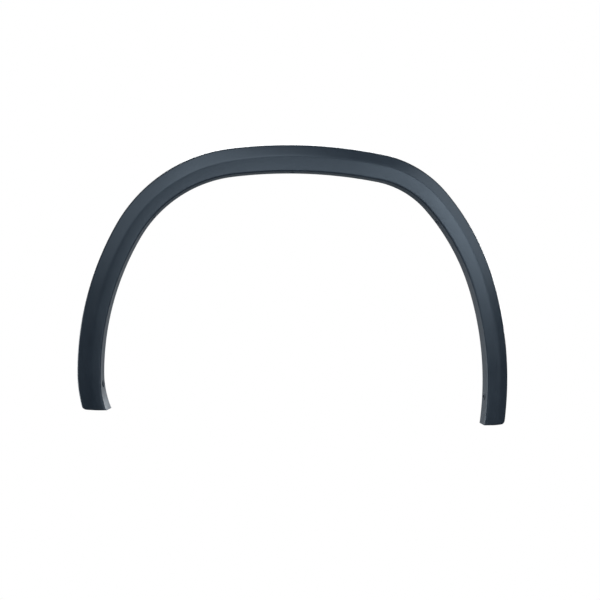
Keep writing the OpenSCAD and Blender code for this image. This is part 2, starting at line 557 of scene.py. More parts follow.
@dataclass(frozen=True)
class Arc:
    """One round stretch of the inner edge.

    Attributes:
        radius: its radius, in metres.
        turn: how far the edge turns along it, in degrees.
    """

    radius: float
    turn: float

    @property
    def length(self) -> float:
        """Length along the arc."""
        return self.radius * math.radians(self.turn)


@dataclass(frozen=True)
class ArchLine:
    """The inner edge of the trim, as tangent arcs that run down from the crown on both sides.

    Attributes:
        front: the arcs from the crown to the front foot.
        rear: the arcs from the crown to the rear foot.
    """

    front: tuple[Arc, ...] = (Arc(1.025, 7.1), Arc(0.267, 52.7), Arc(0.580, 29.8), Arc(0.200, 22.5))
    rear: tuple[Arc, ...] = (Arc(1.025, 10.3), Arc(0.188, 37.6), Arc(0.475, 24.0), Arc(0.687, 25.0))

    @property
    def front_length(self) -> float:
        """Length from the crown to the front foot."""
        return sum(arc.length for arc in self.front)

    @property
    def rear_length(self) -> float:
        """Length from the crown to the rear foot."""
        return sum(arc.length for arc in self.rear)

    def along(self, s: float) -> float:
        """Share of the way from the crown to a foot."""
        return -s / self.front_length if s < 0 else s / self.rear_length

    def to_end(self, s: float) -> float:
        """Distance from a station to the cut end."""
        return self.front_length + s if s < 0 else self.rear_length - s

    def at(self, s: float) -> tuple[float, float, float]:
        """Place and heading at a station.

        Args:
            s: distance from the crown, negative towards the front.

        Returns:
            x, z and the heading in degrees.
        """
        x, z, heading = self._walk(self.front if s < 0 else self.rear, abs(s))
        return (-x, z, -heading) if s < 0 else (x, z, heading)

    @staticmethod
    def _walk(arcs: Sequence[Arc], s: float) -> tuple[float, float, float]:
        """Walks a chain of arcs for a distance.

        Args:
            arcs: the arcs, from the crown.
            s: the distance.

        Returns:
            x, z and the heading in degrees.
        """
        x = z = heading = 0.0
        for place, arc in enumerate(arcs):
            last = place == len(arcs) - 1 or s <= arc.length
            turn = math.degrees(s / arc.radius) if last else arc.turn
            old, new = math.radians(heading), math.radians(heading + turn)
            x += arc.radius * (math.sin(new) - math.sin(old))
            z += arc.radius * (math.cos(new) - math.cos(old))
            heading += turn
            if last:
                break
            s -= arc.length
        return x, z, heading


@dataclass(frozen=True)
class BodySide:
    """The doubly curved panel that the trim lies on.

    Attributes:
        bow: radius of its curve along the car, in metres.
        lean: radius of its curve from top to bottom, in metres.
        setback: how far the origin lies behind it.
    """

    bow: float = 4.5
    lean: float = 6.0
    setback: float = 8.5 * MM

    def depth(self, x: float, z: float) -> float:
        """How far in the panel lies."""
        return x * x / (2 * self.bow) + z * z / (2 * self.lean) - self.setback

    def normal(self, x: float, z: float) -> Vector:
        """Direction out of the panel."""
        return Vector((x / self.bow, -1.0, z / self.lean)).normalized()


@dataclass(frozen=True)
class Profile:
    """Sizes of the moulded section and of its feet.

    Attributes:
        crown_width: width of the strip at the crown.
        front_width: its width at the front foot.
        rear_width: its width at the rear foot.
        wall: thickness of the wall.
        edge_height: height of the outer edge over the panel.
        crease_height: height of the crease at the crown.
        foot_crease_height: its height at the feet.
        crease_share: share of the width that lies outside the crease.
        front_crease_share: the same share at the front foot.
        crease_soft: reach of the crease's rounding at the crown.
        foot_crease_soft: its reach at the feet.
        corner_height: height of the inner corner.
        corner_soft: reach of the inner corner's rounding.
        edge_soft: reach of the outer edge's rounding.
        flange_depth: how far the flange runs behind the panel.
        flange_draft: how far the flange leans over its depth.
        foot_flare: how much further it leans at the front foot.
        foot_blend: length over which the strip turns into its level foot.
        foot_corner: radius of a foot's outer corner.
        foot_edge: radius of a foot's cut edge.
        share_pace: how much faster than the width the crease's place changes.
        soft_start: share of the way down where the crease starts to soften.
    """

    crown_width: float = 59.0 * MM - INSIDE
    front_width: float = 53.5 * MM - INSIDE
    rear_width: float = 49.5 * MM - INSIDE
    wall: float = 2.5 * MM
    edge_height: float = 5.0 * MM
    crease_height: float = 15.0 * MM - INSIDE
    foot_crease_height: float = 13.5 * MM - INSIDE
    crease_share: float = 0.42
    front_crease_share: float = 0.52
    crease_soft: float = 3.0 * MM
    foot_crease_soft: float = 9.0 * MM
    corner_height: float = 12.0 * MM
    corner_soft: float = 4.0 * MM
    edge_soft: float = 4.5 * MM
    flange_depth: float = 18.0 * MM - INSIDE
    flange_draft: float = 1.5 * MM
    foot_flare: float = 4.0 * MM
    foot_blend: float = 90.0 * MM
    foot_corner: float = 8.0 * MM
    foot_edge: float = 2.5 * MM
    share_pace: float = 3.0
    soft_start: float = 0.375

    def inputs(self) -> dict[str, float]:
        """The sizes that are the same all along.

        Returns:
            The sizes by the names of the trees' inputs.
        """
        return {"Edge Height": self.edge_height, "Corner Height": self.corner_height,
                "Flange Depth": self.flange_depth, "Edge Rounding": self.edge_soft,
                "Corner Rounding": self.corner_soft}

    def width(self, line: ArchLine, s: float) -> float:
        """Width of the strip at a station."""
        foot = self.front_width if s < 0 else self.rear_width
        return mix(self.crown_width, foot, ease(line.along(s)))

    def crease_u(self, line: ArchLine, s: float) -> float:
        """Distance of the crease from the inner edge.

        Args:
            line: the inner edge.
            s: distance from the crown, negative towards the front.

        Returns:
            The distance.
        """
        foot = self.front_crease_share if s < 0 else self.crease_share
        share = mix(self.crease_share, foot, ease(self.share_pace * line.along(s)))
        return self.width(line, s) * (1 - share)

    def crease_top(self, line: ArchLine, s: float) -> float:
        """Height of the crease over the panel."""
        return mix(self.crease_height, self.foot_crease_height, ease(line.along(s)))

    def crease_reach(self, line: ArchLine, s: float) -> float:
        """Reach of the crease's rounding to each side."""
        past = (line.along(s) - self.soft_start) / (1 - self.soft_start)
        return mix(self.crease_soft, self.foot_crease_soft, ease(past))

    def draft(self, line: ArchLine, s: float) -> float:
        """Lean of the flange over its depth."""
        flare = self.foot_flare * ease(1 - line.to_end(s) / self.foot_blend) if s < 0 else 0.0
        return self.flange_draft + flare

    @staticmethod
    def quarter(radius: float, x: float) -> float:
        """Drop of a round corner at a distance from its end."""
        return 0.0 if x >= radius else radius - math.sqrt(radius * radius - (radius - x) ** 2)


@dataclass
class Stations:
    """Points along the strip that carry the section's sizes to the geometry trees.

    Attributes:
        line: the inner edge.
        side: the panel below.
        profile: the section.
    """

    line: ArchLine
    side: BodySide
    profile: Profile

    def mesh(self, places: Iterable[tuple[float, bool]], name: str) -> bpy.types.Mesh:
        """Makes one point for each station, with its attributes.

        Args:
            places: distances from the crown, each with True where the ring closes the foot.
            name: the mesh's name.

        Returns:
            A mesh of loose points.
        """
        rows = [self._row(s, closed) for s, closed in places]
        mesh = bpy.data.meshes.new(name)
        mesh.from_pydata([row["spot"] for row in rows], [], [])
        for label in ("spot", "outwards", "run", "crease", "bends", "foot", "turn"):
            attribute = mesh.attributes.new(label, "FLOAT_VECTOR", "POINT")
            attribute.data.foreach_set("vector", [v for row in rows for v in row[label]])
        return mesh

    def _row(self, s: float, closed: bool) -> dict[str, tuple[float, float, float]]:
        """Works out the attributes of one station.

        Args:
            s: distance from the crown.
            closed: whether the ring closes the foot.

        Returns:
            The vectors by name.
        """
        line, profile = self.line, self.profile
        x, z, heading = line.at(s)
        angle = math.radians(heading)
        end = line.to_end(s)
        width, top = profile.width(line, s), profile.crease_top(line, s)
        level = ease(1 - end / profile.foot_blend)
        slide = level * math.cos(angle) / math.sin(angle) if level > 0 else 0.0
        matrix = self.frame(s)
        return {
            "spot": (x, 0.0, z),
            "outwards": (math.sin(angle), 0.0, math.cos(angle)),
            "run": (math.cos(angle), 0.0, -math.sin(angle)),
            "crease": (width, profile.crease_u(line, s), top),
            "bends": (profile.crease_reach(line, s), profile.draft(line, s), slide),
            "foot": (profile.quarter(profile.foot_corner, end) / width,
                     profile.quarter(profile.foot_edge, end) / top, 1.0 if closed else 0.0),
            "turn": tuple(matrix.to_euler("XYZ")),
        }

    def frame(self, s: float) -> Matrix:
        """Frame on the panel at a station: X along the strip, Y outwards, Z outboard.

        Args:
            s: distance from the crown.

        Returns:
            The frame.
        """
        x, z, heading = self.line.at(s)
        angle = math.radians(heading)
        out = self.side.normal(x, z)
        run = Vector((math.cos(angle), 0.0, -math.sin(angle)))
        along = (run - run.dot(out) * out).normalized()
        across = out.cross(along)
        matrix = Matrix((along, across, out)).transposed().to_4x4()
        matrix.translation = (x, self.side.depth(x, z), z)
        return matrix


@dataclass
class Section:
    """The section's formula as nodes, shared by the shell and by the ribs.

    Attributes:
        net: the tree that the nodes go to.
        stations: the geometry whose points carry the section's sizes.
        ring: number of the station of each point.
        side: the panel below.
        read: the station's attributes, by name.
    """

    net: GeometryNet
    stations: Any
    ring: Term
    side: BodySide
    read: dict[str, Arrow] = field(default_factory=dict)

    def __post_init__(self) -> None:
        """Reads the station's attributes."""
        for label in ("spot", "outwards", "run", "crease", "bends", "foot"):
            self.read[label] = self.net.taken_from(self.stations, self.net.named(label), self.ring)

    def point(self, place: Term, steps: Term) -> Arrow:
        """The section's point in u and d.

        Args:
            place: number of the point in the section, from the outer edge to the flange's back.
            steps: facets in each of the three roundings.

        Returns:
            A vector of u, d and nothing.
        """
        net = self.net
        width, crease_u, crease_top = self.read["crease"].parts()
        crease_reach, draft, _ = self.read["bends"].parts()
        panel = net.arrow(width, 0.0, 0.0)
        edge = net.arrow(width, net.size("Edge Height"), 0.0)
        crease = net.arrow(crease_u, crease_top, 0.0)
        corner = net.arrow(draft, net.size("Corner Height"), 0.0)
        back = net.arrow(0.0, 0.0 - net.size("Flange Depth"), 0.0)
        shifted = place + steps
        group = shifted.over(steps + 1.0)
        t = shifted.modulo(steps + 1.0) / steps
        reach = net.pick(group, [net.arrow(r, 0.0, 0.0) for r in (
            0.0, net.size("Edge Rounding"), crease_reach, net.size("Corner Rounding"), 0.0)]).parts()[0]
        before = net.pick(group, [panel, panel, edge, crease, back])
        vertex = net.pick(group, [panel, edge, crease, corner, back])
        after = net.pick(group, [panel, crease, corner, back, back])
        start = vertex + (before - vertex).unit() * reach
        end = vertex + (after - vertex).unit() * reach
        return start * ((1.0 - t) * (1.0 - t)) + vertex * (2.0 * t * (1.0 - t)) + end * (t * t)

    def between(self, place: Term, share: float, steps: Term) -> Arrow:
        """A point on the way from one point of the section to the next."""
        return self.point(place, steps) * (1.0 - share) + self.point(place + 1.0, steps) * share

    def rounded(self, point: Arrow) -> Arrow:
        """Rounds the foot, and lays the ring that closes it flat on the panel.

        Args:
            point: u and d in the section.

        Returns:
            u and d in the foot.
        """
        draw, sink, closed = self.read["foot"].parts()
        u, d, _ = point.parts()
        proud = d.above(0.0)
        lowered = d * (1.0 - proud * sink)
        return self.net.arrow(u * (1.0 - draw), lowered * (1.0 - closed * proud), 0.0)

    def seated(self, point: Arrow) -> Arrow:
        """Sets a point on the curved panel.

        Args:
            point: u and d.

        Returns:
            Its place.
        """
        u, d, _ = point.parts()
        _, _, slide = self.read["bends"].parts()
        spot = self.read["spot"] + self.read["outwards"] * u + self.read["run"] * (u * slide)
        x, _, z = spot.parts()
        side = self.side
        depth = x * x / (2 * side.bow) + z * z / (2 * side.lean) - side.setback
        normal = self.net.arrow(x / side.bow, -1.0, z / side.lean).unit()
        return self.net.arrow(x, depth, z) + normal * d


@dataclass
class Shell:
    """The face, its crease, the rounded edges, the return flange and the closed feet.

    Attributes:
        stations: the strip.
        step: spacing of the rings.
        bend_steps: facets in each rounding of the section.
        edge_steps: rings in the rounding of a foot's cut edge.
        corner_steps: rings from there to the end of its round corner.
        foot_run: how far from the foot the rings' even spacing starts.
        weld: points of the closing rings that are this close become one.
        rim_round: width of the softened rims.
        rim_steps: facets in a rim.
        rim_angle: rims turn by more than this, in degrees.
    """

    stations: Stations
    step: float = 5.0 * MM
    bend_steps: int = 8
    edge_steps: int = 6
    corner_steps: int = 4
    foot_run: float = 15.0 * MM
    weld: float = 0.02 * MM
    rim_round: float = 0.45 * MM
    rim_steps: int = 2
    rim_angle: float = 55.0

    def build(self, material: bpy.types.Material) -> bpy.types.Object:
        """Lofts the outer skin with a geometry tree and gives it its wall.

        Args:
            material: what it is made of.

        Returns:
            The shell as one closed solid.
        """
        net = GeometryNet("Arch shell", {**self.stations.profile.inputs(), "Weld": self.weld},
                          {"Bend Steps": self.bend_steps})
        stations = net.start.outputs["Geometry"]
        steps = net.size("Bend Steps")
        across = 3.0 * (steps + 1.0) + 2.0  # points of the three roundings and the two ends
        index = net.index()
        ring = index.over(across)
        section = Section(net, stations, ring, self.stations.side)
        point = section.rounded(section.point(index - ring * across, steps))
        skin = net.laid(net.count(stations), across, section.seated(point))
        merged = net.add("GeometryNodeMergeByDistance", {}, {"Geometry": skin, "Distance": net.size("Weld")})
        net.close(merged.outputs[0])
        shell = new_piece("arch_moulding", self.stations.mesh(self._places(), "shell stations"))
        net.apply(shell, material)
        self._give_wall(shell)
        return shell

    def _places(self) -> list[tuple[float, bool]]:
        """Stations of the rings from foot to foot, close together in the rounded feet.

        Returns:
            Distances from the crown, each with True for the two rings that close the feet.
        """
        edge, corner = self.stations.profile.foot_edge, self.stations.profile.foot_corner
        near = [edge * (1 - math.cos(math.pi / 2 * k / self.edge_steps)) for k in range(self.edge_steps)]
        near += [mix(edge, corner, k / self.corner_steps) for k in range(self.corner_steps + 1)]
        near.append(self.foot_run)
        front, rear = self.stations.line.front_length, self.stations.line.rear_length
        count = math.ceil((front + rear - 2 * near[-1]) / self.step)
        middle = [mix(near[-1] - front, rear - near[-1], i / count) for i in range(1, count)]
        ring = [x - front for x in near] + middle + [rear - x for x in reversed(near)]
        return [(ring[0], True)] + [(s, False) for s in ring] + [(ring[-1], True)]

    def _give_wall(self, shell: bpy.types.Object) -> None:
        """Turns the skin into a wall with softened rims.

        Args:
            shell: the outer skin.
        """
        with opened(shell.data) as cage:
            bmesh.ops.recalc_face_normals(cage, faces=cage.faces)
            crown = min(cage.faces, key=lambda face: face.calc_center_median().y)
            if crown.normal.y > 0:
                bmesh.ops.reverse_faces(cage, faces=cage.faces)
        wall = shell.modifiers.new("wall", "SOLIDIFY")
        wall.thickness = self.stations.profile.wall
        wall.offset = -1.0
        wall.use_even_offset = True
        wall.use_quality_normals = True
        rims = shell.modifiers.new("rims", "BEVEL")
        rims.width = self.rim_round
        rims.segments = self.rim_steps
        rims.limit_method = "ANGLE"
        rims.angle_limit = math.radians(self.rim_angle)
        bake_modifiers(shell)


class RibKind(Enum):
    """The two sorts of rib under the face."""

    GUSSET = "gusset"
    TOWER_WALL = "tower wall"


@dataclass
class Ribs:
    """Thin ribs that follow the section from below.

    Attributes:
        stations: the strip.
        kind: which sort of rib.
        thickness: thickness of a rib.
        sunk: how far a gusset's edge lies inside the wall.
        wall_sunk: how far a tower wall's edge lies inside the wall.
        low: height of a tower wall's foot over the panel.
        bend_steps: facets in the rounding that a rib follows.
        start_share: where a gusset starts on the facet before its rounding.
        wall_start: where a tower wall does.
        tail_share: where a rib ends on the facet after its rounding.
    """

    stations: Stations
    kind: RibKind
    thickness: float = 1.8 * MM
    sunk: float = 1.65 * MM
    wall_sunk: float = 1.7325 * MM
    low: float = 2.5 * MM
    bend_steps: int = 8
    start_share: float = 0.55
    wall_start: float = 0.5
    tail_share: float = 0.55

    def build(self, places: Sequence[float], material: bpy.types.Material) -> bpy.types.Object:
        """Makes all ribs of one sort with a geometry tree.

        Args:
            places: the stations of the ribs.
            material: what they are made of.

        Returns:
            The ribs as closed plates in one mesh.
        """
        gusset = self.kind is RibKind.GUSSET
        sizes = {"Sunk": self.sunk if gusset else self.wall_sunk, "Low": self.low}
        net = GeometryNet(self.kind.value, {**self.stations.profile.inputs(), **sizes},
                          {"Bend Steps": self.bend_steps})
        stations = net.start.outputs["Geometry"]
        steps = net.size("Bend Steps")
        across = steps + 3.0  # points of one rounding and one to each side of it
        index = net.index()
        row = index.over(across)
        base = row.modulo(2.0)
        section = Section(net, stations, row.over(2.0), self.stations.side)
        roof, foot = self._edges(net, section, index - row * across, across)
        point = roof * (1.0 - base) + foot * base
        sheet = net.laid(net.count(stations) * 2.0, across, section.seated(point))
        between = net.add("GeometryNodeDeleteGeometry", {"domain": "FACE", "mode": "ALL"}, {
            "Geometry": sheet, "Selection": net.index().over(across - 1.0).modulo(2.0)})
        net.close(between.outputs[0])
        ribs = new_piece(self.kind.value, self.stations.mesh([(s, False) for s in places], "rib stations"))
        net.apply(ribs, material)
        plate = ribs.modifiers.new("thickness", "SOLIDIFY")
        plate.thickness = self.thickness
        plate.offset = 0.0
        bake_modifiers(ribs)
        return ribs

    def _edges(self, net: GeometryNet, section: Section, place: Term, across: Term) -> tuple[Arrow, Arrow]:
        """The upper and lower edge of a rib in u and d.

        Args:
            net: the tree.
            section: the section at the rib.
            place: number of the point along the rib, from 0.
            across: how many points a rib has.

        Returns:
            The point in the wall and the point below it.
        """
        gusset = self.kind is RibKind.GUSSET
        steps, sunk = net.size("Bend Steps"), net.size("Sunk")
        last = across - 1.0
        bend = (place - 1.0).at_least(0.0).at_most(steps)
        # A gusset follows the third rounding, the inner corner, and a tower wall the second, the crease.
        first_bend = 2.0 * (steps + 1.0) + 1.0 if gusset else steps + 2.0
        facet = section.between(first_bend - 1.0, self.start_share if gusset else self.wall_start, steps)
        tail = section.between(first_bend + steps, self.tail_share, steps)
        at_start = 1.0 - place.at_most(1.0)
        at_end = 1.0 - (last - place).at_most(1.0)
        inside = 1.0 - at_start - at_end
        line = facet * at_start + tail * at_end + section.point(first_bend + bend, steps) * inside
        if gusset:
            shift = net.arrow(sunk, 0.0 - sunk, 0.0)
            share = place / last
            chord = facet * (1.0 - share) + tail * share
            return line + shift, chord + shift
        u, d, _ = line.parts()
        return net.arrow(u, d - sunk, 0.0), net.arrow(u, net.size("Low"), 0.0)


@dataclass
class Fastenings:
    """Screw seats and their holes, clip plates and pegs, set out along the strip.

    Attributes:
        stations: the strip.
        screw_radius: radius of a screw hole.
        seat_radius: radius of a screw seat.
        seat_thickness: its thickness, the flange's wall included.
        seat_soft: how much a seat's rims are softened.
        hole_soft: how much a hole's rims are softened.
        past: how far the bars that cut the holes run past a seat.
        screw_back: how far behind the panel the screws lie.
        tower_length: length of a clip tower along the strip.
        tower_width: its width across the strip.
        rib_thickness: thickness of its walls.
        plate_thickness: thickness of a clip plate.
        plate_gap: height of the clip plates over the panel.
        neck_radius: radius of a keyhole.
        neck_slot: width of the way into a keyhole.
        mouth_facets: facets round a keyhole.
        peg_radius: radius of a peg.
        peg_reach: how far a peg reaches behind the panel.
        peg_short: how far a peg ends below the crease's inner face.
        peg_tip: rings of a peg's tip, as shares of its radius: height and radius.
        peg_share: share of the way to a foot where the pegs stand.
        gusset_gap: distance from a seat's rim to the gussets beside it.
        screws_each_side: screws on each side of the one at the crown.
        clips_each_side: clip towers on each side.
        gussets_between: gussets spread between two screws.
        foot_share: how far the last screw lies from the foot, as a share of the screws' spacing.
    """

    stations: Stations
    screw_radius: float = 3.25 * MM
    seat_radius: float = 8.0 * MM
    seat_thickness: float = 5.0 * MM
    seat_soft: float = 0.3 * MM
    hole_soft: float = 0.35 * MM
    past: float = 1.0 * MM
    screw_back: float = 8.5 * MM
    tower_length: float = 20.0 * MM
    tower_width: float = 17.0 * MM
    rib_thickness: float = 1.8 * MM
    plate_thickness: float = 2.0 * MM
    plate_gap: float = 1.0 * MM
    neck_radius: float = 4.5 * MM
    neck_slot: float = 6.5 * MM
    mouth_facets: int = 40
    peg_radius: float = 3.0 * MM
    peg_reach: float = 12.0 * MM
    peg_short: float = 0.4 * MM
    peg_tip: tuple[tuple[float, float], ...] = ((0.0, 0.55), (0.1, 0.63), (1.0, 1.0))
    peg_share: float = 1 / 3
    gusset_gap: float = 6.0 * MM
    screws_each_side: int = 2
    clips_each_side: int = 3
    gussets_between: int = 3
    foot_share: float = 0.15

    @property
    def screw_places(self) -> list[float]:
        """Stations of the screws, from the front foot to the rear foot.

        Returns:
            Distances from the crown, negative towards the front.
        """
        front, rear = self.stations.line.front_length, self.stations.line.rear_length
        count = self.screws_each_side
        shares = [(i - self.foot_share) / count for i in range(1, count + 1)]
        return [-front * share for share in reversed(shares)] + [0.0] + [rear * share for share in shares]

    @property
    def clip_places(self) -> list[float]:
        """Stations of the clip towers.

        Returns:
            Distances from the crown, negative towards the front.
        """
        front, rear = self.stations.line.front_length, self.stations.line.rear_length
        shares = [(i + 0.5) / self.clips_each_side for i in range(self.clips_each_side)]
        return [-front * share for share in shares] + [rear * share for share in shares]

    @property
    def peg_places(self) -> list[float]:
        """Stations of the locating pegs."""
        line = self.stations.line
        return [-line.front_length * self.peg_share, line.rear_length * self.peg_share]

    @property
    def gusset_places(self) -> list[float]:
        """Stations of the gussets: beside each screw and spread between the screws.

        Returns:
            Distances from the crown, negative towards the front.
        """
        screws = self.screw_places
        beside = [s + side * (self.seat_radius + self.gusset_gap) for s in screws for side in (-1, 1)]
        parts = self.gussets_between + 1
        between = [mix(a, b, i / parts) for a, b in zip(screws, screws[1:]) for i in range(1, parts)]
        return beside + between

    @property
    def wall_places(self) -> list[float]:
        """Stations of the two walls of each clip tower."""
        reach = (self.tower_length - self.rib_thickness) / 2
        return [s + side * reach for s in self.clip_places for side in (-1, 1)]

    def _spread(self, name: str, pattern: bpy.types.Mesh, places: Sequence[float],
                offsets: Sequence[Vector], material: bpy.types.Material) -> bpy.types.Object:
        """Sets copies of a pattern along the strip with a geometry tree.

        Args:
            name: the result's name.
            pattern: the mesh of one copy, in the frame of its station.
            places: stations of the copies.
            offsets: each copy's shift in the frame of its station.
            material: what they are made of.

        Returns:
            All copies in one mesh.
        """
        holder = new_piece(name + " pattern", pattern)
        net = GeometryNet(name, {"Scale": 1.0})
        source = net.add("GeometryNodeObjectInfo", {"transform_space": "ORIGINAL"}, {"Object": holder})
        spread = net.add("GeometryNodeInstanceOnPoints", {}, {
            "Points": net.start.outputs["Geometry"], "Instance": source.outputs["Geometry"],
            "Rotation": net.named("turn"), "Scale": net.size("Scale")})
        net.close(spread.outputs[0])
        mesh = self.stations.mesh([(s, False) for s in places], name + " stations")
        for vertex, s, offset in zip(mesh.vertices, places, offsets):
            vertex.co = self.stations.frame(s) @ offset
        piece = new_piece(name, mesh)
        net.apply(piece, material)
        bpy.data.objects.remove(holder, do_unlink=True)
        return piece

    @staticmethod
    def _barrel(rings: Sequence[tuple[float, float]], axis: Vector, facets: int = 48) -> bpy.types.Mesh:
        """A closed turned solid.

        Args:
            rings: distance along the axis and radius of each ring.
            axis: the direction that it points in.
            facets: facets round it.

        Returns:
            Its mesh.
        """
        turn = Vector((0, 0, 1)).rotation_difference(axis).to_matrix()
        around = [2 * math.pi * k / facets for k in range(facets)]
        mesh = bpy.data.meshes.new("turned")
        with opened(mesh) as cage:
            loops = [[cage.verts.new(turn @ Vector((radius * math.cos(a), radius * math.sin(a), height)))
                      for a in around] for height, radius in rings]
            for low, high in zip(loops, loops[1:]):
                join_loops(cage, low, high)
            cage.faces.new(list(reversed(loops[0])))
            cage.faces.new(loops[-1])
            bmesh.ops.recalc_face_normals(cage, faces=cage.faces)
        return mesh

    def _at_screws(self, name: str, rings: Sequence[tuple[float, float]],
                   material: bpy.types.Material) -> bpy.types.Object:
        """Sets a turned solid on the flange at each screw.

        Args:
            name: the result's name.
            rings: distance into the flange and radius of each ring.
            material: what they are made of.

        Returns:
            The solids in one mesh.
        """
        places = self.screw_places
        offsets = [Vector((0, 0, -self.screw_back))] * len(places)
        return self._spread(name, self._barrel(rings, Vector((0, 1, 0))), places, offsets, material)

    def seats(self, material: bpy.types.Material) -> bpy.types.Object:
        """Makes the raised ring seats of the screws, with softened rims.

        Args:
            material: what they are made of.

        Returns:
            All seats in one mesh.
        """
        r, t, soft = self.seat_radius, self.seat_thickness, self.seat_soft
        return self._at_screws("screw seats", [(0.0, r - soft), (soft, r), (t - soft, r), (t, r - soft)],
                               material)

    def holes(self, material: bpy.types.Material) -> bpy.types.Object:
        """Makes the bars that cut the screw holes, each past both faces of its seat.

        Args:
            material: what they are made of.

        Returns:
            All bars in one mesh.
        """
        r, t, past, soft = self.screw_radius, self.seat_thickness, self.past, self.hole_soft
        wide = r + past + soft
        return self._at_screws("screw holes", [(-past, wide), (soft, r), (t - soft, r), (t + past, wide)],
                               material)

    def pegs(self, material: bpy.types.Material) -> bpy.types.Object:
        """Makes the two locating pegs with tapered tips.

        Args:
            material: what they are made of.

        Returns:
            Both pegs in one mesh.
        """
        r, places = self.peg_radius, self.peg_places
        line, profile = self.stations.line, self.stations.profile
        top = profile.crease_top(line, places[0]) - profile.wall - self.peg_short
        rings = [(height * r, radius * r) for height, radius in self.peg_tip]
        pattern = self._barrel(rings + [(self.peg_reach + top, r)], Vector((0, 0, 1)))
        offsets = [Vector((0, profile.crease_u(line, s), -self.peg_reach)) for s in places]
        return self._spread("locating pegs", pattern, places, offsets, material)

    def plates(self, material: bpy.types.Material) -> bpy.types.Object:
        """Makes the clip plates with their keyholes.

        Args:
            material: what they are made of.

        Returns:
            All plates in one mesh.
        """
        half, reach = self.tower_length / 2, self.tower_width / 2
        slot, neck = self.neck_slot / 2, self.neck_radius
        start, facets = math.asin(slot / neck), self.mouth_facets
        turns = [mix(start, 2 * math.pi - start, k / facets) for k in range(facets + 1)]
        outline = [(half, -reach), (half, reach), (-half, reach), (-half, -reach), (-slot, -reach)]
        outline += [(neck * math.sin(a), -neck * math.cos(a)) for a in reversed(turns)] + [(slot, -reach)]
        mesh = bpy.data.meshes.new("clip plate")
        with opened(mesh) as cage:
            bottom, top = ([cage.verts.new((x, y, level)) for x, y in outline]
                           for level in (self.plate_gap, self.plate_gap + self.plate_thickness))
            join_loops(cage, bottom, top)
            bmesh.ops.triangulate(cage, faces=[cage.faces.new(bottom), cage.faces.new(top)])
            bmesh.ops.recalc_face_normals(cage, faces=cage.faces)
        line, profile = self.stations.line, self.stations.profile
        offsets = [Vector((0, profile.crease_u(line, s), 0)) for s in self.clip_places]
        return self._spread("clip plates", mesh, self.clip_places, offsets, material)


